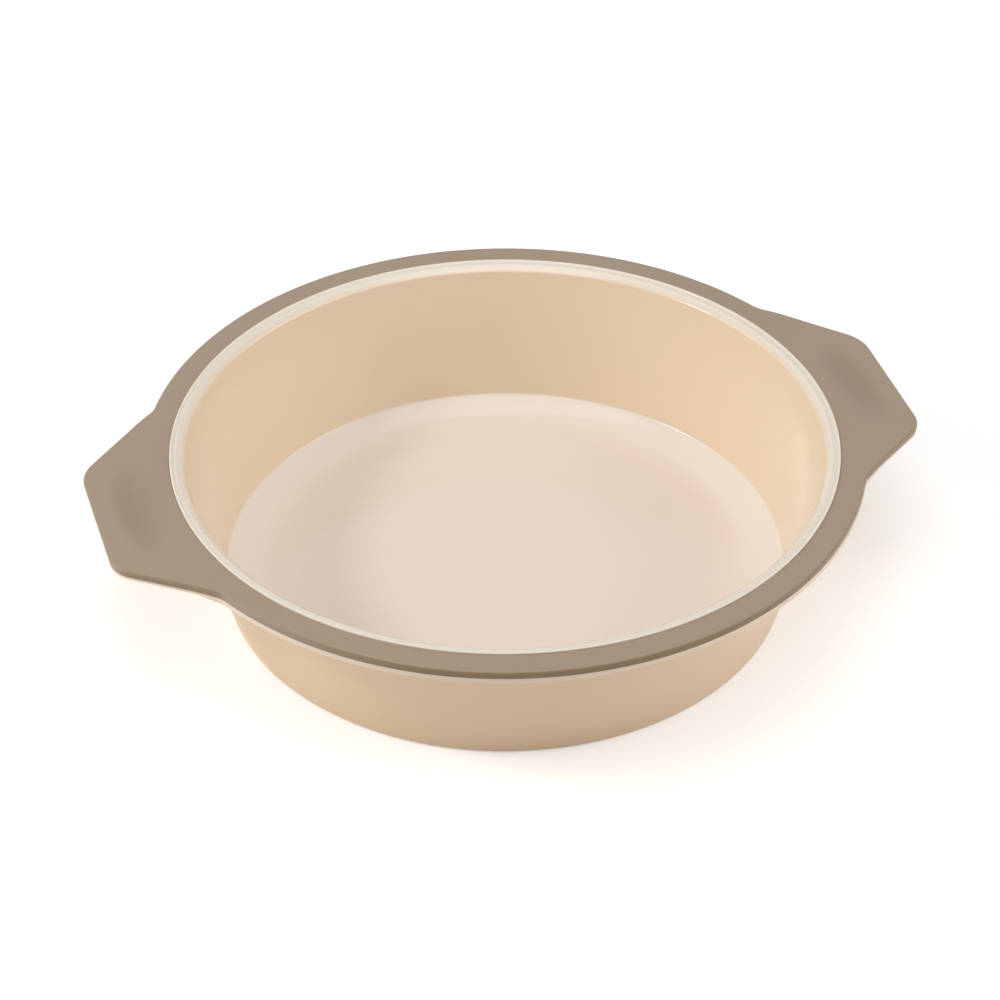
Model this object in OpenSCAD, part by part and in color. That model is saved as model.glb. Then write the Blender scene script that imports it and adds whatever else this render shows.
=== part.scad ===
// Round cake pan in two colours of silicone, with a stiff flat rim and two handles.
// The pale body is moulded first. A flat steel frame is laid on its rim flange, and
// the darker rim cover, with both handles, is moulded over the frame and the flange.
// The origin is the centre of the base, on the table. +Z is up, the handles lie
// along X, and every length is in millimetres.

/* [Bowl] */
// Inside width of the bowl at the rim
mouth_d = 229; // [190:1:300]
// Height of the rim's flat top above the table
rim_h = 58; // [40:0.5:100]
// Lean of the wall from upright, in degrees
wall_lean = 12.5; // [4:0.5:18]
// Thickness of the wall
wall_t = 2.4; // [1.6:0.1:4]
// Thickness of the floor
floor_t = 2.8; // [1.8:0.1:5]
// Radius between the wall and the floor, inside
floor_fillet_r = 5; // [2:0.5:10]
// Radius of the bottom edge, outside
base_fillet_r = 6; // [3:0.5:12]
// Hollow radius where the wall runs into the underside of the rim
neck_fillet_r = 2; // [0.5:0.25:2.5]

/* [Lip] */
// Width of the pale lip, from the inside of the bowl to the rim cover
lip_w = 4.6; // [4:0.1:8]
// Height of the lip's crown above the rim cover
lip_h = 0.6; // [0.3:0.1:2]
// Width of the crown, the raised outer part of the lip
crown_w = 2.8; // [1.4:0.1:2.8]
// Rounding of the crown's two edges
crown_edge_r = 0.55; // [0.2:0.05:0.6]
// Height of the lip's inner shelf above the rim cover
shelf_h = 0.1; // [0.05:0.05:0.25]
// Rounding between the shelf and the inside of the wall
mouth_edge_r = 1.2; // [0.5:0.1:1.6]

/* [Rim] */
// Width of the rim cover, outside the lip
rim_w = 9.4; // [7:0.1:20]
// Thickness of the rim cover
cover_t = 2.5; // [1.9:0.1:4]
// Rounding of the rim cover's upper edge
cover_edge_r = 1.1; // [0.4:0.1:1.6]
// Thickness of the pale flange under the rim cover
flange_t = 2.3; // [1.4:0.1:4]
// Rounding of the flange's lower edge
flange_edge_r = 0.6; // [0.2:0.1:1]

/* [Handles] */
// Reach of each handle past the rim
handle_reach = 19.4; // [12:0.1:32]
// Width of a handle along its straight end, before its corners are rounded
handle_tip_w = 57; // [40:0.5:75]
// Width of a handle where its sides meet the rim
handle_root_w = 111.6; // [96:0.2:130]
// Rounding of the handle's two corners
handle_corner_r = 13.5; // [6:0.5:16]
// Hollow radius where a handle's side runs into the rim
handle_root_r = 10; // [4:0.5:20]
// Droop of the handles below the level rim, in degrees
handle_droop = 5.4; // [1:0.1:9]
// Thickness of the pale skin under a handle
handle_skin_t = 1.2; // [0.8:0.1:1.3]
// Rounding of the skin's lower edge
skin_edge_r = 0.5; // [0.2:0.1:0.7]
// Width over which the flange thins down to the skin, past the rim
skin_taper_w = 5; // [2:0.5:9]

/* [Thumb scoops] */
// Length of a scoop, along the end of the handle
scoop_len = 46; // [30:1:56]
// Width of a scoop
scoop_w = 13; // [8:0.5:16]
// Depth of a scoop
scoop_d = 1.2; // [0.5:0.1:1.5]

/* [Steel frame] */
// Thickness of the steel sheet
frame_t = 1; // [0.5:0.1:1.4]
// Silicone left between the steel and the outer edge of the rim
frame_margin = 3; // [2:0.1:4]
// Silicone left between the steel and the lip
frame_inner_gap = 2; // [1:0.1:3]

/* [Hidden] */
$fn = 144;

// Gap round the steel in its pocket, and between the cover's bore and the lip
frame_clear = 0.1;
bond_gap = 0.05;
// How far a cut runs past the face that it opens, and the turn that a hollow one adds
overrun = 1;
spare_turn = 8;
// Neighbouring edges of the outline cross by edge_join, and the circle of a rounding
// stands past its two faces by round_join, so that each pair meets in a clear corner
edge_join = 0.02;
round_join = 0.01;
// Distance of the fold line of the handles outside the lip, and how far the level
// part and the handle run into one another on each side of it
fold_gap = 0.5;
fold_lap = 0.25;
// Smallest corner that the sheet and its pocket keep
least_corner_r = 0.5;
// Place of the scoop, as a share of the way from the lip to the handle's end
scoop_place_share = 0.46;
// Shares of a circle in degrees
half_turn = 180;
quarter_turn = 90;

// Radii in plan
mouth_r = mouth_d / 2;
lip_r = mouth_r + lip_w;
rim_r = lip_r + rim_w;
tip_x = rim_r + handle_reach;

// Heights
cover_z = rim_h - cover_t;
flange_z = cover_z - flange_t;
skin_z = cover_z - handle_skin_t;
crown_z = rim_h + lip_h;
shelf_z = rim_h + shelf_h;

// The wall leans by wall_lean: its inner face is mouth_r from the axis at rim_h,
// and its outer face lies wall_t outside that, square to the wall.
wall_across = wall_t / cos(wall_lean);
function inner_r(z) = mouth_r - (rim_h - z) * tan(wall_lean);
function outer_r(z) = inner_r(z) + wall_across;

// A handle's side is a straight line from the end of the tip to the rim. Its
// outward normal is side_normal, and side_reach is its distance from the axis.
tip_y = handle_tip_w / 2;
root_y = handle_root_w / 2;
root_x = sqrt(rim_r * rim_r - root_y * root_y);
side_lean = atan2(root_y - tip_y, tip_x - root_x);
side_normal = [sin(side_lean), cos(side_lean)];
side_reach = side_normal * [tip_x, tip_y];
side_turn = quarter_turn - side_lean;

// The hollow at a handle's root runs into both the side line and the rim circle
root_reach = side_reach + handle_root_r - edge_join;
root_off = rim_r + handle_root_r - edge_join;
root_along = sqrt(root_off * root_off - root_reach * root_reach);
root_centre = root_reach * side_normal + root_along * [cos(side_lean), -sin(side_lean)];
root_turn = atan2(root_centre[1], root_centre[0]);

// The same outline can be drawn smaller all round by an inset
function corner_r(inset) = max(handle_corner_r - inset, least_corner_r);
function side_y(x, off) = (side_reach - off - side_normal[0] * x) / side_normal[1];
function corner_x(inset) = tip_x - inset - corner_r(inset);
function corner_y(inset) = side_y(corner_x(inset), inset + corner_r(inset));
function side_start(inset) = root_centre - (handle_root_r + inset - edge_join) * side_normal;
function side_end(inset) = [corner_x(inset), corner_y(inset)] + corner_r(inset) * side_normal;
function polar(r, turn) = [r * cos(turn), r * sin(turn)];
function flip_y(p) = [p[0], -p[1]];

// The fold of the handles
fold_x = lip_r + fold_gap;
fold_mitre = tan(handle_droop / 2);

// The steel band
band_w = rim_w - frame_margin - frame_inner_gap;
band_outer_r = rim_r - frame_margin;
band_inner_r = lip_r + frame_inner_gap;

// The scoop is cut by a long barrel whose axis lies above the handle
scoop_x = lip_r + scoop_place_share * (tip_x - lip_r);
function arc_r(chord, rise) = (chord * chord / 4 + rise * rise) / (2 * rise);
scoop_round_r = arc_r(scoop_w, scoop_d);
scoop_long_r = arc_r(scoop_len, scoop_d);

// Outline of the rim and its two handles, drawn in by inset
module rim_outline(inset) {
    half_points = [root_centre, side_start(inset), [tip_x - inset, side_y(tip_x - inset, inset)]];
    points = concat([[0, 0]], half_points, [for (i = [2:-1:0]) flip_y(half_points[i])]);
    difference() {
        union() {
            circle(rim_r - inset);
            for (side = [0, 1]) mirror([side, 0]) polygon(points);
        }
        for (side = [0, 1], end = [0, 1]) mirror([side, 0]) mirror([0, end]) {
            translate(root_centre) circle(handle_root_r + inset);
            corner_notch(corner_r(inset), [corner_x(inset), corner_y(inset)]);
        }
    }
}

// What the rounding of a handle's corner takes off the outline
module corner_notch(r, centre) {
    wide = r + overrun;
    translate(centre)
        difference() {
            polygon([[0, 0], [wide, 0], polar(wide / cos(side_turn / 2), side_turn / 2), wide * side_normal]);
            circle(r + edge_join);
        }
}

// What a rounding takes off a plate's upper edge, which is the point [0, 0]
module edge_cut(r) {
    translate([round_join - r, round_join - r])
        difference() {
            square(r + overrun);
            circle(r);
        }
}

// Runs a section along a straight edge from a point, with the outside on the left
module along_line(from, heading, length) {
    translate(from) rotate(heading) rotate([quarter_turn, 0, quarter_turn])
        linear_extrude(length) children();
}

// Runs a section along the edge of the ring, between the handles
module along_ring() {
    for (turn = [0, half_turn]) rotate(turn + root_turn)
        rotate_extrude(angle = half_turn - 2 * root_turn) translate([rim_r, 0]) children();
}

// Runs a section along the roots, the sides, the corners and the end of both handles
module along_handles() {
    run_out = handle_corner_r / 2;
    side_length = norm(side_end(0) - side_start(0));
    for (side = [0, 1]) mirror([side, 0, 0]) {
        for (end = [0, 1]) mirror([0, end, 0]) {
            translate(root_centre) rotate(half_turn + root_turn - spare_turn)
                rotate_extrude(angle = side_turn - root_turn + 2 * spare_turn)
                    translate([handle_root_r, 0]) mirror([1, 0]) children();
            along_line(side_start(0), -side_lean, side_length + run_out) children();
            translate([corner_x(0), corner_y(0)])
                rotate_extrude(angle = side_turn)
                    translate([handle_corner_r + edge_join, 0]) children();
        }
        along_line([tip_x, corner_y(0) + run_out], -quarter_turn, 2 * (corner_y(0) + run_out))
            children();
    }
}

// Folds flat work down along the two lines where the handles start. The work lies
// between the heights top and top - thick, and the fold's axes are at rim_h.
module folded(top, thick) {
    far = tip_x + overrun;
    wide = 2 * rim_r;
    low = top - thick - overrun;
    high = top + overrun;
    ridge_x = fold_x - (rim_h - top) * fold_mitre;
    function level_x(z) = ridge_x - fold_lap + 2 * fold_lap * (top - z) / thick;
    function handle_x(z) = (rim_h - z) * fold_mitre - 2 * fold_lap;
    intersection() {
        children();
        translate([0, wide / 2, 0]) rotate([quarter_turn, 0, 0])
            linear_extrude(wide)
                polygon([
                    [-level_x(low), low], [level_x(low), low],
                    [level_x(high), high], [-level_x(high), high]
                ]);
    }
    for (side = [0, 1]) mirror([side, 0, 0])
        difference() {
            translate([fold_x, 0, rim_h]) rotate([0, handle_droop, 0]) translate([0, 0, -rim_h])
                intersection() {
                    translate([-fold_x, 0, 0]) children();
                    translate([0, wide / 2, 0]) rotate([quarter_turn, 0, 0])
                        linear_extrude(wide)
                            polygon([
                                [handle_x(low), low], [far - fold_x, low],
                                [far - fold_x, high], [handle_x(high), high]
                            ]);
                }
            translate([ridge_x - wide / 2, -wide / 2, top]) cube([wide, wide, overrun]);
        }
}

// Half section of a leaning cup with a rounded bottom edge, up to a height
module cup_section(bottom_z, top_z, fillet_r, offset_r) {
    centre_z = bottom_z + fillet_r;
    centre_r = inner_r(centre_z) + offset_r - fillet_r / cos(wall_lean);
    polygon([
        [0, bottom_z],
        [centre_r, bottom_z],
        [centre_r + fillet_r * cos(wall_lean), centre_z - fillet_r * sin(wall_lean)],
        [inner_r(top_z) + offset_r, top_z],
        [0, top_z]
    ]);
    translate([centre_r, centre_z]) circle(fillet_r);
}

// Fills the hollow corner between the wall and the underside of the flange
module neck_fillet() {
    centre_z = flange_z - neck_fillet_r;
    centre_r = outer_r(centre_z) + neck_fillet_r / cos(wall_lean);
    touch = [centre_r - neck_fillet_r * cos(wall_lean), centre_z + neck_fillet_r * sin(wall_lean)];
    difference() {
        polygon([
            touch,
            [centre_r, centre_z],
            [centre_r, flange_z + flange_t / 2],
            [inner_r(flange_z) + wall_across / 2, flange_z + flange_t / 2],
            touch - [wall_across / 2, 0]
        ]);
        translate([centre_r, centre_z]) circle(neck_fillet_r);
    }
}

// Rounds the inner edge of the lip: the corner that the cavity takes off the shelf
module mouth_flare() {
    centre_z = shelf_z - mouth_edge_r;
    centre_r = inner_r(centre_z) + mouth_edge_r / cos(wall_lean);
    touch = [centre_r - mouth_edge_r * cos(wall_lean), centre_z + mouth_edge_r * sin(wall_lean)];
    difference() {
        polygon([
            touch - [wall_across / 2, 0],
            touch,
            [centre_r, centre_z],
            [centre_r, crown_z + overrun],
            [touch[0] - wall_across / 2, crown_z + overrun]
        ]);
        translate([centre_r, centre_z]) circle(mouth_edge_r);
    }
}

// Raised outer part of the lip, with both upper edges rounded
module crown_section() {
    foot_z = flange_z + flange_t / 2;
    translate([lip_r - crown_w, foot_z]) square([crown_w, crown_z - crown_edge_r - foot_z]);
    translate([lip_r - crown_w + crown_edge_r, foot_z])
        square([crown_w - 2 * crown_edge_r, crown_z - foot_z]);
    for (r = [lip_r - crown_w + crown_edge_r, lip_r - crown_edge_r])
        translate([r, crown_z - crown_edge_r]) circle(crown_edge_r);
}

// Pale flange, flat: a full ring under the rim, thinned to a skin under the handles
module flange_flat() {
    taper_r = rim_r - 2 * flange_edge_r;
    translate([0, 0, skin_z])
        difference() {
            linear_extrude(handle_skin_t) rim_outline(0);
            along_handles() mirror([0, 1]) edge_cut(skin_edge_r);
        }
    translate([0, 0, flange_z])
        rotate_extrude()
            difference() {
                square([rim_r, flange_t]);
                translate([rim_r, 0]) mirror([0, 1]) edge_cut(flange_edge_r);
            }
    intersection() {
        rotate_extrude()
            polygon([
                [taper_r, flange_z],
                [rim_r + skin_taper_w, skin_z],
                [rim_r + skin_taper_w, skin_z + handle_skin_t / 2],
                [taper_r, skin_z + handle_skin_t / 2]
            ]);
        translate([0, 0, flange_z]) linear_extrude(flange_t) rim_outline(skin_edge_r);
    }
}

// Steel frame, flat: a band round the lip and a loop in each handle, grown by grow
module frame_outline(grow) {
    difference() {
        rim_outline(frame_margin - grow);
        circle(band_inner_r - grow);
        difference() {
            rim_outline(frame_margin + band_w + grow);
            circle(band_outer_r + grow);
        }
    }
}

// Rim cover, flat, with its upper edge rounded
module cover_flat() {
    difference() {
        linear_extrude(cover_t) rim_outline(0);
        translate([0, 0, cover_t]) {
            along_ring() edge_cut(cover_edge_r);
            along_handles() edge_cut(cover_edge_r);
        }
    }
}

// Barrel that cuts the scoop of the right-hand handle
module scoop_cut() {
    translate([scoop_x, 0, rim_h - scoop_d + scoop_round_r])
        rotate([quarter_turn, 0, 0])
            rotate_extrude()
                intersection() {
                    translate([scoop_round_r - scoop_long_r, 0]) circle(scoop_long_r);
                    translate([0, -scoop_len / 2]) square([scoop_round_r, scoop_len]);
                }
}

module pan_body() {
    color([0.93, 0.84, 0.73])
        difference() {
            union() {
                rotate_extrude() {
                    cup_section(0, flange_z, base_fillet_r, wall_across);
                    neck_fillet();
                    translate([inner_r(flange_z), flange_z])
                        square([lip_r - inner_r(flange_z), shelf_z - flange_z]);
                    crown_section();
                }
                folded(cover_z, flange_t) flange_flat();
            }
            rotate_extrude() {
                cup_section(floor_t, crown_z + overrun, floor_fillet_r, 0);
                mouth_flare();
            }
        }
}

module rim_frame() {
    color([0.72, 0.73, 0.75])
        folded(cover_z + frame_t, frame_t)
            translate([0, 0, cover_z]) linear_extrude(frame_t) frame_outline(0);
}

module rim_cover() {
    color([0.65, 0.58, 0.50])
        difference() {
            folded(rim_h, cover_t)
                difference() {
                    translate([0, 0, cover_z]) cover_flat();
                    translate([0, 0, cover_z - overrun])
                        linear_extrude(frame_t + frame_clear + overrun) frame_outline(frame_clear);
                    for (side = [0, 1]) mirror([side, 0, 0]) scoop_cut();
                }
            translate([0, 0, cover_z - overrun])
                cylinder(h = cover_t + 2 * overrun, r = lip_r + bond_gap);
        }
}

pan_body();
rim_frame();
rim_cover();
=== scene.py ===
# %% [markdown]
# This scene dresses a round silicone cake pan: a pale cream bowl, and a darker rim with
# two handles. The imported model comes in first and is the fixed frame: it gives the
# sizes, and everything here is built around it, in metres, in its own axes. The origin
# is the centre of the base, Z is up, and the handles lie along X.

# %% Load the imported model
import math
import bpy
from mathutils import Matrix, Vector


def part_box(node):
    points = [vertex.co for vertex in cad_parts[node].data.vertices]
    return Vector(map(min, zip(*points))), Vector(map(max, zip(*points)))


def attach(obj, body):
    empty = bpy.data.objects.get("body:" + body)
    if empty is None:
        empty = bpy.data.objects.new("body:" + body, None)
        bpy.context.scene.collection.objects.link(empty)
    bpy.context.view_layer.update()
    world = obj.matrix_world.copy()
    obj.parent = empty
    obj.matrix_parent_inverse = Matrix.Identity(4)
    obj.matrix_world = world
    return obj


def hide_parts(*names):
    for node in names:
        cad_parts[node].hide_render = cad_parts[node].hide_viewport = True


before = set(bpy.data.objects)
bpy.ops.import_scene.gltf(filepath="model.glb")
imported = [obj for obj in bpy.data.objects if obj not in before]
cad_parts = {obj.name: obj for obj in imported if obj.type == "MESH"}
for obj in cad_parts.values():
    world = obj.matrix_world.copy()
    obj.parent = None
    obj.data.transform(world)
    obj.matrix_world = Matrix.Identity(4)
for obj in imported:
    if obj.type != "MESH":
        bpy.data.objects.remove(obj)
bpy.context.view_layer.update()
cover_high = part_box("rim_cover")[1]
body_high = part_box("pan_body")[1]
print("nodes:", sorted(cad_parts), "height:", round(body_high.z, 4))

# %% [markdown]
# The sizes are the real ones. The overall ones come from the model's own boxes, and the
# small ones, such as the thickness of a layer or the radius of an edge, are named here
# once. A millimetre is the natural unit for them, so each is written as a number of mm.

# %% Widths and heights of the rim
mm = 0.001
rim_w = 9.4 * mm
lip_w = 4.6 * mm
handle_reach = 19.4 * mm
crown_h = 0.6 * mm
cover_t = 2.5 * mm
flange_t = 2.3 * mm
skin_t = 1.2 * mm
skin_taper_w = 5 * mm

rim_r = cover_high.y
lip_r = rim_r - rim_w
mouth_r = lip_r - lip_w
tip_x = rim_r + handle_reach
crown_z = body_high.z
rim_z = crown_z - crown_h
cover_z = rim_z - cover_t
flange_z = cover_z - flange_t
skin_z = cover_z - skin_t
print("rim radius:", round(rim_r, 4), "handle end:", round(tip_x, 4))

# %% [markdown]
# The bowl leans out from a flat base. Inside, the floor is flat in the middle and rises
# a little towards a crisp edge, where the wall starts. The lip has a narrow crown next
# to the rim cover, then a level band, then a slope down into the bowl.

# %% Sizes of the bowl and the lip
wall_lean = math.radians(15.1)
wall_across = 2.1 * mm / math.cos(wall_lean)
floor_z = 2.8 * mm
floor_corner_z = 9 * mm
floor_corner_r = 1.2 * mm
cove_tilt = math.radians(32)
base_fillet_r = 2 * mm
neck_fillet_r = 2 * mm
lip_top_z = rim_z + 0.15 * mm
lip_flat_w = 2.65 * mm
lip_slope = math.radians(37)
lip_edge_r = 1.2 * mm
mouth_edge_r = 1.5 * mm
crown_w = 0.9 * mm
crown_edge_r = 0.35 * mm
print("wall thickness across:", round(wall_across, 5))

# %% [markdown]
# Every moulded edge is rounded, because a mould can't make a sharp one, and the rounding
# is what catches the light. Each handle has one scoop in its top.

# %% Sizes of the edges and the scoops
bond_gap = 0.05 * mm
cover_edge_r = 1.1 * mm
flange_edge_r = 0.6 * mm
skin_edge_r = 0.5 * mm
seam_edge_r = 0.12 * mm
scoop_share = 0.46
scoop_place = lip_r + scoop_share * (tip_x - lip_r)
scoop_w = 13 * mm
scoop_len = 46 * mm
print("scoop centre:", round(scoop_place, 4))

# %% [markdown]
# The camera comes before the looks, so that every render can be laid beside the
# photograph. A long lens from a little over a metre gives its mild perspective. The aim
# is a named pixel: the centre of the rim's flat top lands there, and the rest follows.

# %% Camera at the photograph's angle
image_px = 1000
focal_px = 3375
aim_px = (504.9, 442.0)
distance = 1.2
elevation = math.radians(36.8)
turn = math.radians(16.4)
roll = math.radians(-0.2)

look = Vector((0, math.cos(elevation), -math.sin(elevation)))
level = Vector((1, 0, 0))
upright = Vector((0, math.sin(elevation), math.cos(elevation)))
right = math.cos(roll) * level + math.sin(roll) * upright
above = math.cos(roll) * upright - math.sin(roll) * level
across = (aim_px[0] - image_px / 2) / focal_px
down = (aim_px[1] - image_px / 2) / focal_px
to_aim = (look + across * right - down * above).normalized()
about_z = Matrix.Rotation(-turn, 3, "Z")

camera_data = bpy.data.cameras.new("camera")
camera_data.sensor_width = 36
camera_data.lens = focal_px / image_px * camera_data.sensor_width
camera = bpy.data.objects.new("camera", camera_data)
bpy.context.scene.collection.objects.link(camera)
facing = about_z @ Matrix((right, above, -look)).transposed()
camera.matrix_world = Matrix.Translation(
    Vector((0, 0, rim_z)) - distance * (about_z @ to_aim)) @ facing.to_4x4()
bpy.context.scene.camera = camera
bpy.context.scene.view_settings.view_transform = "Standard"
print("camera at", [round(v, 3) for v in camera.matrix_world.translation])

# %% [markdown]
# Both the finishes and the pressed shapes are node trees. Two small helpers keep them
# short: one adds any node and feeds its inputs in order, the other adds a sum.

# %% Helpers for node trees
def add_node(tree, kind, *feeds, **settings):
    node = tree.nodes.new(kind)
    for name, value in settings.items():
        setattr(node, name, value)
    for socket, feed in zip(node.inputs, feeds):
        if isinstance(feed, bpy.types.NodeSocket):
            tree.links.new(feed, socket)
        elif feed is not None:
            socket.default_value = feed
    return node


def sum_node(tree, operation, *feeds):
    return add_node(tree, "ShaderNodeMath", *feeds, operation=operation).outputs[0]


print("helpers ready")

# %% [markdown]
# The pan stands on a plain white floor under soft light. The world is white to the
# camera and to reflections, and dimmer as a lamp, so that pale silicone isn't washed out.

# %% World
def light_path_share(tree):
    path = add_node(tree, "ShaderNodeLightPath")
    seen = sum_node(tree, "ADD", path.outputs["Is Camera Ray"], path.outputs["Is Glossy Ray"])
    seen = sum_node(tree, "ADD", seen, path.outputs["Is Transmission Ray"])
    return sum_node(tree, "MINIMUM", seen, 1)


world = bpy.data.worlds.new("studio")
world.use_nodes = True
bpy.context.scene.world = world
tree = world.node_tree
tree.nodes.clear()
ambient_light = 0.12
ambient = add_node(tree, "ShaderNodeBackground", (1, 1, 1, 1), ambient_light)
white = add_node(tree, "ShaderNodeBackground", (1, 1, 1, 1), 1)
seen = light_path_share(tree)
mixed = add_node(tree, "ShaderNodeMixShader", seen, ambient.outputs[0], white.outputs[0])
add_node(tree, "ShaderNodeOutputWorld", mixed.outputs[0])
print("world:", world.name)

# %% [markdown]
# The floor is a real surface of matt paper that takes the pan's shadow. To the camera it
# also glows a little, which makes it white. The glow is weak round the pan, where the
# shadow lies, and full further out, where the lamps no longer reach.

# %% Floor
floor_size = 6
paper_tone = (0.9, 0.9, 0.9, 1)
glow_near, glow_far = 0.3, 1.0
glow_starts, glow_is_full = 0.3, 0.9
bpy.ops.mesh.primitive_plane_add(size=floor_size)
floor = bpy.context.object
floor.name = "floor"
paper = bpy.data.materials.new("white_paper")
paper.use_nodes = True
tree = paper.node_tree
tree.nodes.clear()
matt = add_node(tree, "ShaderNodeBsdfDiffuse", paper_tone)
place = add_node(tree, "ShaderNodeTexCoord").outputs["Object"]
away = add_node(tree, "ShaderNodeVectorMath", place, operation="LENGTH").outputs["Value"]
glow = add_node(tree, "ShaderNodeMapRange", away, glow_starts, glow_is_full, glow_near, glow_far)
lift = add_node(tree, "ShaderNodeEmission", (1, 1, 1, 1), glow.outputs[0])
dark = add_node(tree, "ShaderNodeEmission", (0, 0, 0, 1), 0)
lifted = add_node(tree, "ShaderNodeMixShader", light_path_share(tree), dark.outputs[0], lift.outputs[0])
summed = add_node(tree, "ShaderNodeAddShader", matt.outputs[0], lifted.outputs[0])
add_node(tree, "ShaderNodeOutputMaterial", summed.outputs[0])
floor.data.materials.append(paper)
print("floor:", floor_size, "m wide")

# %% [markdown]
# A small key lamp on the left gives the shape, and four large soft boxes fill it in. Each
# lamp is a square that faces the pan, with a place, a size and a brightness. The places
# turn with the camera, so that the light comes from where it does in the photograph.

# %% Lamps
lamps = {
    "key_left": ((-1.02, -0.18, 0.86), 0.22, 26.0),
    "softbox_left": ((-1.2, -0.1, 0.6), 0.9, 2.7),
    "softbox_right": ((1.2, -0.1, 0.6), 0.9, 3.25),
    "softbox_front": ((0.0, -0.9, 1.4), 1.2, 1.27),
    "softbox_top": ((0.0, 0.0, 1.4), 1.0, 1.75),
}
for name, (place, size, glow) in lamps.items():
    data = bpy.data.lights.new(name, "AREA")
    data.shape = "SQUARE"
    data.size = size
    data.energy = glow * math.pi * size * size
    lamp = bpy.data.objects.new(name, data)
    bpy.context.scene.collection.objects.link(lamp)
    lamp.location = about_z @ Vector(place)
    lamp.rotation_euler = lamp.location.to_track_quat("Z", "Y").to_euler()
print("lamps:", list(lamps))

# %% [markdown]
# Silicone has one colour right through. What makes it look real is a faint unevenness
# in tone, a fine moulded grain that breaks up the highlights, and a soft sheen: the
# bowl is nearly glossy inside and the rim is matt. Both finishes share four helpers: one
# mixes two tones, one makes a soft step, one gives an even noise, and one puts the rest
# together.

# %% Helpers for the silicone finishes
def mixed_tone(tree, share, first, second):
    tone = add_node(tree, "ShaderNodeMix", data_type="RGBA")
    tree.links.new(share, tone.inputs["Factor"])
    for socket, feed in ((tone.inputs[6], first), (tone.inputs[7], second)):
        if isinstance(feed, bpy.types.NodeSocket):
            tree.links.new(feed, socket)
        else:
            socket.default_value = feed
    return tone.outputs[2]


def ramp(tree, value, start, end, low=0.0, high=1.0):
    node = add_node(tree, "ShaderNodeMapRange", value, start, end, low, high)
    node.interpolation_type = "SMOOTHSTEP"
    return node.outputs[0]


def noise(tree, place, scale, detail):
    node = add_node(tree, "ShaderNodeTexNoise", noise_dimensions="3D")
    tree.links.new(place, node.inputs["Vector"])
    node.inputs["Scale"].default_value = scale
    node.inputs["Detail"].default_value = detail
    return node.outputs["Fac"]


def finish(tone, place, roughness, grain_size, grain_height):
    tree = tone.id_data
    bump = add_node(tree, "ShaderNodeBump")
    bump.inputs["Distance"].default_value = grain_height
    tree.links.new(noise(tree, place, 1 / grain_size, 2), bump.inputs["Height"])
    skin = add_node(tree, "ShaderNodeBsdfPrincipled")
    tree.links.new(tone, skin.inputs["Base Color"])
    patches = ramp(tree, noise(tree, place, patch_scale, 3), 0.3, 0.7, 0.9, 1.1)
    tree.links.new(sum_node(tree, "MULTIPLY", patches, roughness), skin.inputs["Roughness"])
    tree.links.new(bump.outputs[0], skin.inputs["Normal"])
    skin.inputs["IOR"].default_value = 1.45
    add_node(tree, "ShaderNodeOutputMaterial", skin.outputs[0])


patch_scale = 20
cloud_scale = 14
print("patches of sheen:", 1 / patch_scale, "m, clouds of tone:", round(1 / cloud_scale, 3), "m")

# %% [markdown]
# The cream silicone is palest on the lip, pale on the floor, and warmer on the wall. Its tone
# follows the place on the piece: soft steps in the height and in the distance from the axis
# tell the lip, the floor, the two sides of the wall and the flange apart. These are lit and
# shaded copies of one silicone: the paler floor is partly the floor's own tone and partly
# painted sheen of the lamps above, the lip's pale roll and crown are painted highlight, the
# darker band between them is painted shade, and the wall and flange tones are set to how
# the light falls on each. The outside of the wall is also less glossy than the bowl.

# %% Cream silicone
# Tones of one silicone by place: the lip tones are painted highlight and painted shade, the floor tone
# carries painted sheen, and the wall and flange tones follow how light falls on them.
cream_tones = {
    "inner wall": (0.82, 0.65, 0.475, 1),
    "outer wall": (0.81, 0.598, 0.405, 1),
    "flange": (0.8, 0.64, 0.49, 1),
    "floor": (0.79, 0.69, 0.6, 1),
    "painted lip highlight": (0.79, 0.712, 0.605, 1),
    "painted lip band shade": (0.735, 0.66, 0.565, 1),
    "clouds": (0.9, 0.8, 0.7, 1),
}


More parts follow.
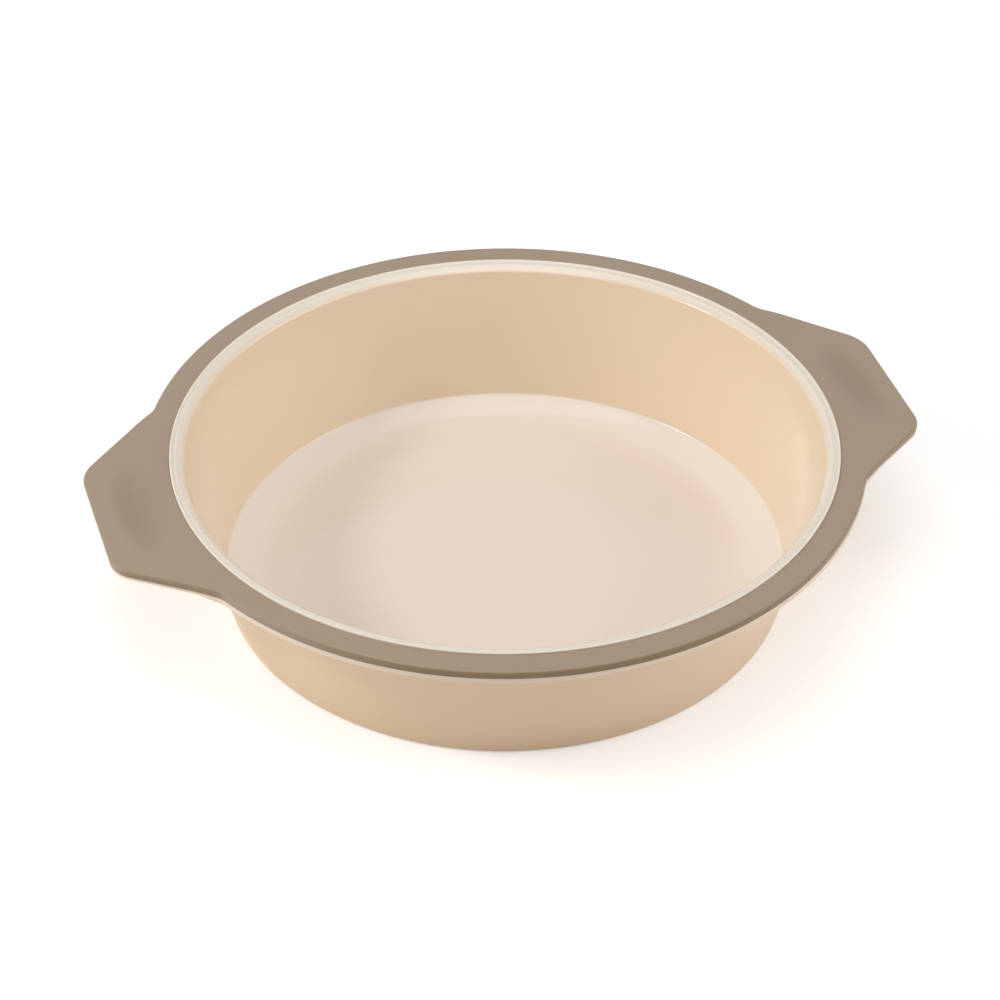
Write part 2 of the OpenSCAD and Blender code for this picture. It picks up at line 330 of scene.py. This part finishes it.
def cream_silicone():
    material = bpy.data.materials.new("cream_silicone")
    material.use_nodes = True
    tree = material.node_tree
    tree.nodes.clear()
    place = add_node(tree, "ShaderNodeTexCoord").outputs["Object"]
    x, y, z = add_node(tree, "ShaderNodeSeparateXYZ", place).outputs
    squares = sum_node(tree, "MULTIPLY_ADD", x, x, sum_node(tree, "MULTIPLY", y, y))
    radius = sum_node(tree, "SQRT", squares)
    past_wall = sum_node(tree, "SUBTRACT", radius, sum_node(tree, "MULTIPLY", z, math.tan(wall_lean)))
    inner_line = mouth_r - rim_z * math.tan(wall_lean)
    outside = ramp(tree, past_wall, inner_line + 0.3 * wall_across, inner_line + 0.8 * wall_across)
    floor_edge_z = floor_corner_z - floor_corner_r * math.sin(wall_lean)
    low = ramp(tree, z, floor_edge_z + 0.3 * mm, floor_edge_z - 0.3 * mm)
    on_floor = sum_node(tree, "MULTIPLY", low, sum_node(tree, "SUBTRACT", 1, outside))
    on_flange = ramp(tree, z, flange_z - 1 * mm, flange_z)
    on_lip = ramp(tree, z, rim_z - 1.6 * mm, rim_z - 0.8 * mm)
    past_roll = ramp(tree, radius, mouth_r + 1.4 * mm, mouth_r + 2 * mm)
    on_crown = ramp(tree, radius, lip_r - crown_w - 0.3 * mm, lip_r - crown_w)
    on_flat = sum_node(tree, "SUBTRACT", past_roll, on_crown)
    # The lip is painted light: painted highlight on the roll and crown, painted shade on the band
    # between them.
    lip = mixed_tone(tree, on_flat, cream_tones["painted lip highlight"], cream_tones["painted lip band shade"])
    outer = mixed_tone(tree, on_flange, cream_tones["outer wall"], cream_tones["flange"])
    tone = mixed_tone(tree, outside, cream_tones["inner wall"], outer)
    # The floor's paler tone is partly its own and partly painted sheen.
    tone = mixed_tone(tree, on_floor, tone, cream_tones["floor"])
    tone = mixed_tone(tree, on_lip, tone, lip)
    cloud = ramp(tree, noise(tree, place, cloud_scale, 3), 0.3, 0.7, 0.0, 0.1)
    tone = mixed_tone(tree, cloud, tone, cream_tones["clouds"])
    roughness = ramp(tree, outside, 0, 1, 0.12, 0.4)
    finish(tone, place, roughness, 0.7 * mm, 0.002 * mm)
    return material


cream = cream_silicone()
print("cream tones:", len(cream_tones))

# %% [markdown]
# The taupe rim is matt. Its top and the ends of the handles get a paler tone, a painted
# sheen that stands in for the lamps' reflection on the top and the side lamps' light on the
# ends. The sides are darker, and each scoop is a little darker than the top round it, as
# painted shade. The surface's own direction tells the top from the sides.

# %% Taupe silicone
# The two paler tones are painted sheen, the scoop tone is painted shade, and the sides keep the deeper
# tone.
taupe_tones = {
    "painted_sheen": (0.32, 0.243, 0.171, 1),
    "paler painted sheen": (0.332, 0.252, 0.178, 1),
    "scoop": (0.293, 0.218, 0.153, 1),
    "sides": (0.24, 0.156, 0.086, 1),
}


def taupe_silicone():
    material = bpy.data.materials.new("taupe_silicone")
    material.use_nodes = True
    tree = material.node_tree
    tree.nodes.clear()
    place = add_node(tree, "ShaderNodeTexCoord").outputs["Object"]
    x, y, z = add_node(tree, "ShaderNodeSeparateXYZ", place).outputs
    off_x = sum_node(tree, "SUBTRACT", sum_node(tree, "ABSOLUTE", x), scoop_place)
    off_x = sum_node(tree, "DIVIDE", off_x, 0.6 * scoop_w)
    off_y = sum_node(tree, "DIVIDE", y, 0.5 * scoop_len)
    off = sum_node(tree, "MULTIPLY_ADD", off_x, off_x, sum_node(tree, "MULTIPLY", off_y, off_y))
    # in_scoop places a painted shade in each scoop.
    in_scoop = ramp(tree, off, 1.8, 0.0)
    facing = add_node(tree, "ShaderNodeNewGeometry").outputs["Normal"]
    facing_x, facing_y, facing_z = add_node(tree, "ShaderNodeSeparateXYZ", facing).outputs
    # The top and the ends of the handles get the painted sheen; the sides keep the deeper tone.
    on_top = ramp(tree, facing_z, 0.75, 0.95)
    on_end = ramp(tree, sum_node(tree, "ABSOLUTE", facing_x), 0.4, 0.95)
    painted_sheen = sum_node(tree, "MAXIMUM", on_top, on_end)
    cloud = ramp(tree, noise(tree, place, cloud_scale, 3), 0.3, 0.7)
    pale = mixed_tone(tree, cloud, taupe_tones["painted_sheen"], taupe_tones["paler painted sheen"])
    pale = mixed_tone(tree, in_scoop, pale, taupe_tones["scoop"])
    tone = mixed_tone(tree, painted_sheen, taupe_tones["sides"], pale)
    finish(tone, place, 0.45, 0.5 * mm, 0.012 * mm)
    return material


taupe = taupe_silicone()
print("finishes:", cream.name, taupe.name)

# %% [markdown]
# The outline of the rim is a circle with two tapering handles: a straight end, rounded
# corners, straight sides, and a hollow where each side runs into the ring. It is drawn
# as arcs and lines in one quarter and mirrored, and every station keeps its outward
# normal, so that edges can be rounded square to the outline and not along the radius.

# %% Outline of the rim
tip_half_w = 28.5 * mm
root_half_w = 55.8 * mm
corner_r = 13.5 * mm
hollow_r = 10 * mm
root_x = math.sqrt(rim_r**2 - root_half_w**2)
side_lean = math.atan2(root_half_w - tip_half_w, tip_x - root_x)
side_normal = Vector((math.sin(side_lean), math.cos(side_lean)))
side_reach = side_normal.dot(Vector((tip_x, tip_half_w)))
corner_x = tip_x - corner_r
corner_y = (side_reach - corner_r - side_normal.x * corner_x) / side_normal.y
root_along = math.sqrt((rim_r + hollow_r) ** 2 - (side_reach + hollow_r) ** 2)
root_centre = (side_reach + hollow_r) * side_normal + root_along * Vector(
    (math.cos(side_lean), -math.sin(side_lean)))
root_turn = math.atan2(root_centre.y, root_centre.x)
side_turn = math.pi / 2 - side_lean
end_steps, corner_steps, side_steps, hollow_steps, ring_steps = 22, 16, 26, 12, 90


def arc_stations(centre, radius, start, end, count, hollow=False):
    stations = []
    for i in range(count):
        angle = start + (end - start) * i / count
        ray = Vector((math.cos(angle), math.sin(angle)))
        stations.append((centre + radius * ray, -ray if hollow else ray))
    return stations


def line_stations(start, end, normal, count):
    return [(start.lerp(end, i / count), normal) for i in range(count)]


def quarter_outline():
    corner = Vector((corner_x, corner_y))
    side_start = corner + corner_r * side_normal
    side_end = root_centre - hollow_r * side_normal
    ahead = Vector((1, 0))
    stations = line_stations(Vector((tip_x, 0)), Vector((tip_x, corner_y)), ahead, end_steps)
    stations += arc_stations(corner, corner_r, 0, side_turn, corner_steps)
    stations += line_stations(side_start, side_end, side_normal, side_steps)
    stations += arc_stations(
        root_centre, hollow_r, math.pi + side_turn, math.pi + root_turn, hollow_steps, hollow=True)
    stations += arc_stations(Vector((0, 0)), rim_r, root_turn, math.pi / 2, ring_steps)
    return stations


def whole_outline():
    quarter = quarter_outline()
    back = [(Vector((0, rim_r)), Vector((0, 1)))]
    flipped = [(Vector((-p.x, p.y)), Vector((-n.x, n.y))) for p, n in reversed(quarter[1:])]
    half = quarter + back + flipped
    end = [(Vector((-tip_x, 0)), Vector((-1, 0)))]
    below = [(Vector((-p.x, -p.y)), Vector((-n.x, -n.y))) for p, n in half[1:]]
    return half + end + below


outline = whole_outline()
print("stations on the outline:", len(outline))

# %% [markdown]
# Both mouldings are one grid each. A row of points runs right round, one at every
# station, and the rows are joined up into a closed skin. A row is a circle, or the
# outline drawn in by an inset, or a blend of the two. A rounded edge is a run of close
# rows on an arc, because such edges are what catches the light.

# %% Rows and grids
def arc_points(centre, radius, start, end, count):
    points = []
    for i in range(count + 1):
        angle = math.radians(start + (end - start) * i / count)
        points.append((centre[0] + radius * math.cos(angle), centre[1] + radius * math.sin(angle)))
    return points


def rounded_corner(corner, radius, start, end, count):
    middle, half = math.radians((start + end) / 2), math.radians((start - end) / 2)
    back = radius / math.cos(half)
    centre = (corner[0] - back * math.cos(middle), corner[1] - back * math.sin(middle))
    return arc_points(centre, radius, start, end, count)


def turned_row(r, z):
    return [(*(p.normalized() * r), z) for p, n in outline]


def inset_row(inset, z):
    return [(*(p - n * inset), z) for p, n in outline]


def blended_row(start_r, inset, share, height):
    row = []
    for p, n in outline:
        spot = (p.normalized() * start_r).lerp(p - n * inset, share)
        row.append((*spot, height(spot.length) if callable(height) else height))
    return row


def grid_object(name, rows, closed):
    vertices = [v for row in rows for v in row]
    count = len(outline)
    faces = []
    for j in range(len(rows) if closed else len(rows) - 1):
        a, b = j * count, (j + 1) % len(rows) * count
        for i in range(count):
            k = (i + 1) % count
            faces.append((a + i, a + k, b + k, b + i))
    if not closed:
        for row, z in ((0, rows[0][0][2]), (len(rows) - 1, rows[-1][0][2])):
            pole = len(vertices)
            vertices.append((0, 0, z))
            for i in range(count):
                k = (i + 1) % count
                pair = (row * count + i, row * count + k)
                faces.append((pole, *pair) if row else (pole, *reversed(pair)))
    mesh = bpy.data.meshes.new(name)
    mesh.from_pydata(vertices, [], faces)
    mesh.update()
    made = bpy.data.objects.new(name, mesh)
    bpy.context.scene.collection.objects.link(made)
    return made


flat_shares = (0.02, 0.06, 0.12, 0.2, 0.3, 0.45, 0.65, 0.85, 0.98)
wall_shares = (0.02, 0.12, 0.3, 0.5, 0.7, 0.88, 0.98)
print("rows across a flat:", len(flat_shares), "up a wall:", len(wall_shares))

# %% [markdown]
# The rim cover is laid out flat first. Its section starts at the foot of the bore, goes
# up, out over the top, round the soft upper edge, down the side and back underneath.

# %% Rim cover, laid out flat
def cover_rows():
    bore_r = lip_r + bond_gap
    ease = 0.2 * mm
    rows = [turned_row(bore_r, z) for z in (cover_z, cover_z + 1.2 * mm, rim_z - 2 * ease)]
    rows += [turned_row(r, z) for r, z in arc_points((bore_r + ease, rim_z - ease), ease, 180, 90, 4)]
    top_rows = 28
    shares = [0.006] + [i / top_rows for i in range(1, top_rows)] + [0.994]
    rows += [blended_row(bore_r + ease, cover_edge_r, share, rim_z) for share in shares]
    for across, height in arc_points((0, 0), cover_edge_r, 90, 0, 10):
        rows.append(inset_row(cover_edge_r - across, rim_z - cover_edge_r + height))
    for across, height in arc_points((0, 0), seam_edge_r, 0, -90, 3):
        rows.append(inset_row(seam_edge_r - across, cover_z + seam_edge_r + height))
    rows += [blended_row(bore_r, seam_edge_r, share, cover_z) for share in reversed(flat_shares)]
    return rows


cover = grid_object("rim_cover_silicone", cover_rows(), closed=True)
print("rim cover faces:", len(cover.data.polygons))

# %% [markdown]
# The flange under the cover thins down to a skin under the handles. One function says
# how far a point has gone from the one to the other, and both the height of the
# underside and the rounding of its edge follow it.

# %% Flange and its edge
def skin_reach(r):
    return min(max((r - rim_r) / skin_taper_w, 0), 1)


def under_z(r):
    reach = skin_reach(r)
    return flange_z + (skin_z - flange_z) * reach * reach * (3 - 2 * reach)


def flange_edge_rows():
    rows = []
    for across, height in arc_points((0, 0), seam_edge_r, 90, 0, 3):
        rows.append(inset_row(seam_edge_r - across, cover_z - seam_edge_r + height))
    for step in range(7):
        angle = math.pi / 2 * step / 6
        row = []
        for p, n in outline:
            edge_r = flange_edge_r + (skin_edge_r - flange_edge_r) * skin_reach(p.length)
            spot = p - n * (edge_r - edge_r * math.cos(angle))
            row.append((*spot, under_z(p.length) + edge_r - edge_r * math.sin(angle)))
        rows.append(row)
    return rows


print("underside of the flange:", round(under_z(rim_r), 5), "of the skin:", round(under_z(tip_x), 5))

# %% [markdown]
# The body is one moulding too. Its rows start at the middle of the floor and go over its
# rise and crisp edge, up the wall, and over the slope, the band and the crown of the lip.
# The foot of the wall follows the photograph, so it lies up to about 3 mm inside the
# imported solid's.

# %% Inside of the bowl and the lip, laid out flat
def inner_r(z):
    return mouth_r - (rim_z - z) * math.tan(wall_lean)


def bowl_rows():
    lean = math.degrees(wall_lean)
    tilt = math.degrees(cove_tilt)
    corner_x = inner_r(floor_corner_z) - floor_corner_r / math.cos(wall_lean)
    corner = arc_points((corner_x, floor_corner_z), floor_corner_r, tilt - 90, -lean, 8)
    cove_h = corner[0][1] - floor_z
    cove_w = 2 * cove_h / math.tan(cove_tilt)
    cove_x = corner[0][0] - cove_w
    cove_steps = [i / 12 for i in range(12)]
    rows = [turned_row(cove_x * share, floor_z) for share in (0.07, 0.3, 0.55, 0.8, 0.95)]
    rows += [turned_row(cove_x + cove_w * step, floor_z + cove_h * step**2) for step in cove_steps]
    rows += [turned_row(r, z) for r, z in corner]
    top_x = lip_r - lip_flat_w
    steep, shallow = 1 / math.tan(wall_lean), math.tan(lip_slope)
    mouth_x = (lip_top_z - rim_z + mouth_r * steep - top_x * shallow) / (steep - shallow)
    mouth_z = lip_top_z - (top_x - mouth_x) * shallow
    slope_turn = 90 + math.degrees(lip_slope)
    lip = rounded_corner((mouth_x, mouth_z), mouth_edge_r, 180 - lean, slope_turn, 7)
    lip += rounded_corner((top_x, lip_top_z), lip_edge_r, slope_turn, 90, 6)
    start_z = rows[-1][0][2]
    for share in wall_shares:
        z = start_z + (lip[0][1] - start_z) * share
        rows.append(turned_row(inner_r(z), z))
    rows += [turned_row(r, z) for r, z in lip]
    crown_x = lip_r - crown_w
    rows += [turned_row(crown_x - gap, lip_top_z) for gap in (0.7 * mm, 0.2 * mm)]
    edge_z = crown_z - crown_edge_r
    crown = arc_points((crown_x + crown_edge_r, edge_z), crown_edge_r, 150, 90, 5)
    crown += arc_points((lip_r - crown_edge_r, edge_z), crown_edge_r, 90, 0, 5)
    rows += [turned_row(r, z) for r, z in crown]
    rows += [turned_row(lip_r, z) for z in (rim_z - 0.3 * mm, cover_z + 0.4 * mm, cover_z)]
    return rows


bowl = bowl_rows()
print("rows inside the bowl and over the lip:", len(bowl))

# %% [markdown]
# The other half of the rows goes out along the flange, back under it, down the outside
# of the wall and under the base. A small hollow leads from the flange into the wall, and
# the bottom edge is rounded. Both halves make one closed skin, which meets in a point in
# the middle of the floor and in the middle of the base.

# %% Flange, outside and base, laid out flat
def outside_rows():
    lean = math.degrees(wall_lean)
    rows = [blended_row(lip_r, seam_edge_r, share, cover_z) for share in flat_shares]
    rows += flange_edge_rows()
    neck_z = flange_z - neck_fillet_r
    neck_x = inner_r(neck_z) + wall_across + neck_fillet_r / math.cos(wall_lean)
    under_shares = [1 - i / 18 for i in range(1, 19)]
    rows += [blended_row(neck_x, flange_edge_r, share, under_z) for share in under_shares]
    neck = arc_points((neck_x, neck_z), neck_fillet_r, 90, 180 - lean, 7)
    rows += [turned_row(r, z) for r, z in neck[1:]]
    base_z = base_fillet_r
    base_x = inner_r(base_z) + wall_across - base_fillet_r / math.cos(wall_lean)
    base = arc_points((base_x, base_z), base_fillet_r, -lean, -90, 14)
    top_z = rows[-1][0][2]
    for share in wall_shares:
        z = top_z + (base[0][1] - top_z) * share
        rows.append(turned_row(inner_r(z) + wall_across, z))
    rows += [turned_row(r, z) for r, z in base]
    rows += [turned_row(r * mm, 0) for r in (93, 80, 60, 40, 20, 6)]
    return rows


body = grid_object("pan_body_silicone", bowl + outside_rows(), closed=False)
print("pan body faces:", len(body.data.polygons))

# %% [markdown]
# Two rules turn the flat work into the real shape: each handle droops from a bend just
# outside the lip, and each has a long shallow scoop for a thumb. Both are written as a
# Geometry Nodes tree with named inputs, which moves every point by its own place. The
# body goes through the same tree with no scoop, so the two layers stay together.

# %% Geometry Nodes tree that bends and scoops the handles
def handle_tree():
    tree = bpy.data.node_groups.new("bend_and_scoop", "GeometryNodeTree")
    tree.interface.new_socket("Geometry", in_out="INPUT", socket_type="NodeSocketGeometry")
    for name in ("Bend place", "Bend half width", "Droop", "Top height",
                 "Scoop place", "Scoop width", "Scoop length", "Scoop depth", "Scoop softness"):
        tree.interface.new_socket(name, in_out="INPUT", socket_type="NodeSocketFloat")
    tree.interface.new_socket("Finish", in_out="INPUT", socket_type="NodeSocketMaterial")
    tree.interface.new_socket("Geometry", in_out="OUTPUT", socket_type="NodeSocketGeometry")
    given = tree.nodes.new("NodeGroupInput").outputs
    place = add_node(tree, "GeometryNodeInputPosition").outputs[0]
    parts = add_node(tree, "ShaderNodeSeparateXYZ", place).outputs
    side = sum_node(tree, "SIGN", parts["X"])
    reach = sum_node(tree, "ABSOLUTE", parts["X"])

    off_x = sum_node(tree, "SUBTRACT", reach, given["Scoop place"])
    half_w = sum_node(tree, "MULTIPLY", given["Scoop width"], 0.5)
    half_l = sum_node(tree, "MULTIPLY", given["Scoop length"], 0.5)
    over_w = sum_node(tree, "DIVIDE", off_x, half_w)
    over_l = sum_node(tree, "DIVIDE", parts["Y"], half_l)
    over_w = sum_node(tree, "MULTIPLY", over_w, over_w)
    over_l = sum_node(tree, "MULTIPLY", over_l, over_l)
    bowl = sum_node(tree, "SUBTRACT", sum_node(tree, "SUBTRACT", 1, over_w), over_l)
    bowl = sum_node(tree, "SMOOTH_MAX", bowl, 0, given["Scoop softness"])
    depth = sum_node(tree, "MULTIPLY", bowl, given["Scoop depth"])
    top_skin = sum_node(tree, "SUBTRACT", given["Top height"], 0.001 * mm)
    on_top = sum_node(tree, "GREATER_THAN", parts["Z"], top_skin)
    depth = sum_node(tree, "MULTIPLY", depth, on_top)
    height = sum_node(tree, "SUBTRACT", parts["Z"], depth)
    height = sum_node(tree, "SUBTRACT", height, given["Top height"])

    half_bend = given["Bend half width"]
    start = sum_node(tree, "SUBTRACT", given["Bend place"], half_bend)
    along = sum_node(tree, "SUBTRACT", reach, start)
    bend = sum_node(tree, "MULTIPLY", half_bend, 2)
    share = add_node(tree, "ShaderNodeClamp", sum_node(tree, "DIVIDE", along, bend), 0, 1).outputs[0]
    angle = sum_node(tree, "MULTIPLY", share, given["Droop"])
    radius = sum_node(tree, "DIVIDE", bend, given["Droop"])
    level = sum_node(tree, "MINIMUM", along, 0)
    past = sum_node(tree, "MAXIMUM", sum_node(tree, "SUBTRACT", along, bend), 0)
    sine, cosine = sum_node(tree, "SINE", angle), sum_node(tree, "COSINE", angle)
    new_x = sum_node(tree, "ADD", start, level)
    new_x = sum_node(tree, "MULTIPLY_ADD", radius, sine, new_x)
    new_x = sum_node(tree, "MULTIPLY_ADD", past, cosine, new_x)
    new_x = sum_node(tree, "MULTIPLY_ADD", height, sine, new_x)
    drop = sum_node(tree, "MULTIPLY", radius, sum_node(tree, "SUBTRACT", 1, cosine))
    drop = sum_node(tree, "MULTIPLY_ADD", past, sine, drop)
    new_z = sum_node(tree, "SUBTRACT", given["Top height"], drop)
    new_z = sum_node(tree, "MULTIPLY_ADD", height, cosine, new_z)
    new_x = sum_node(tree, "MULTIPLY", side, new_x)
    moved = add_node(tree, "ShaderNodeCombineXYZ", new_x, parts["Y"], new_z)
    bent = add_node(tree, "GeometryNodeSetPosition", given["Geometry"], None, moved.outputs[0])
    real = add_node(tree, "GeometryNodeRealizeInstances", bent.outputs[0])
    finished = add_node(tree, "GeometryNodeSetMaterial", real.outputs[0], None, given["Finish"])
    add_node(tree, "NodeGroupOutput", finished.outputs[0])
    return tree


bend_and_scoop = handle_tree()
print("tree nodes:", len(bend_and_scoop.nodes))

# %% [markdown]
# The tree runs as a modifier. Its inputs are set by their identifiers, the result is
# taken as a plain mesh, and the modifier goes, so that nothing live is left.

# %% Bend and scoop both mouldings
bend_half_w = 2.5 * mm
handle_droop = math.radians(5.82)
scoop_depth = 1.5 * mm
common = {
    "Bend place": lip_r + bend_half_w,
    "Bend half width": bend_half_w,
    "Droop": handle_droop,
    "Top height": rim_z,
    "Scoop place": scoop_place,
    "Scoop width": scoop_w,
    "Scoop length": scoop_len,
    "Scoop softness": 0.8,
}


def run_tree(piece, tree, values):
    modifier = piece.modifiers.new(tree.name, "NODES")
    modifier.node_group = tree
    for item in tree.interface.items_tree:
        if item.in_out == "INPUT" and item.name in values:
            modifier[item.identifier] = values[item.name]
    graph = bpy.context.evaluated_depsgraph_get()
    mesh = bpy.data.meshes.new_from_object(piece.evaluated_get(graph))
    piece.modifiers.remove(modifier)
    piece.data = mesh
    mesh.name = piece.name
    mesh.polygons.foreach_set("use_smooth", [True] * len(mesh.polygons))
    return piece


run_tree(cover, bend_and_scoop, {**common, "Scoop depth": scoop_depth, "Finish": taupe})
run_tree(body, bend_and_scoop, {**common, "Scoop depth": 0.0, "Finish": cream})
print("bent and scooped:", cover.name, body.name)

# %% [markdown]
# Each new piece stands for one solid of the imported model, which is hidden in its place.
# It rides on the one body that there is.

# %% Stand in for the imported solids
for piece, node, slot in ((cover, "rim_cover", "rim_silicone"), (body, "pan_body", "body_silicone")):
    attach(piece, "root")
    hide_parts(node)
print("finished:", cover.name, body.name)

# %% [markdown]
# The steel frame is sealed inside the rim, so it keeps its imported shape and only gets
# the finish of plain rolled sheet: a metal with fine streaks from the rolls.

# %% Rolled steel for the hidden frame
streak_scale = (20, 900, 20)
steel_tone = (0.58, 0.58, 0.60, 1)
smoothest, roughest = 0.28, 0.42
steel = bpy.data.materials.new("rolled_steel")
steel.use_nodes = True
tree = steel.node_tree
tree.nodes.clear()
place = add_node(tree, "ShaderNodeTexCoord").outputs["Object"]
stretch = add_node(tree, "ShaderNodeMapping", place)
stretch.inputs["Scale"].default_value = streak_scale
streaks = add_node(tree, "ShaderNodeTexNoise", stretch.outputs[0])
rough = add_node(tree, "ShaderNodeMapRange", streaks.outputs["Fac"])
rough.inputs["To Min"].default_value = smoothest
rough.inputs["To Max"].default_value = roughest
metal = add_node(tree, "ShaderNodeBsdfPrincipled", steel_tone, 1.0)
tree.links.new(rough.outputs[0], metal.inputs["Roughness"])
add_node(tree, "ShaderNodeOutputMaterial", metal.outputs[0])
steel_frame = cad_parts["rim_frame"]
steel_frame.data.materials.clear()
steel_frame.data.materials.append(steel)
print("steel frame:", steel_frame.name)
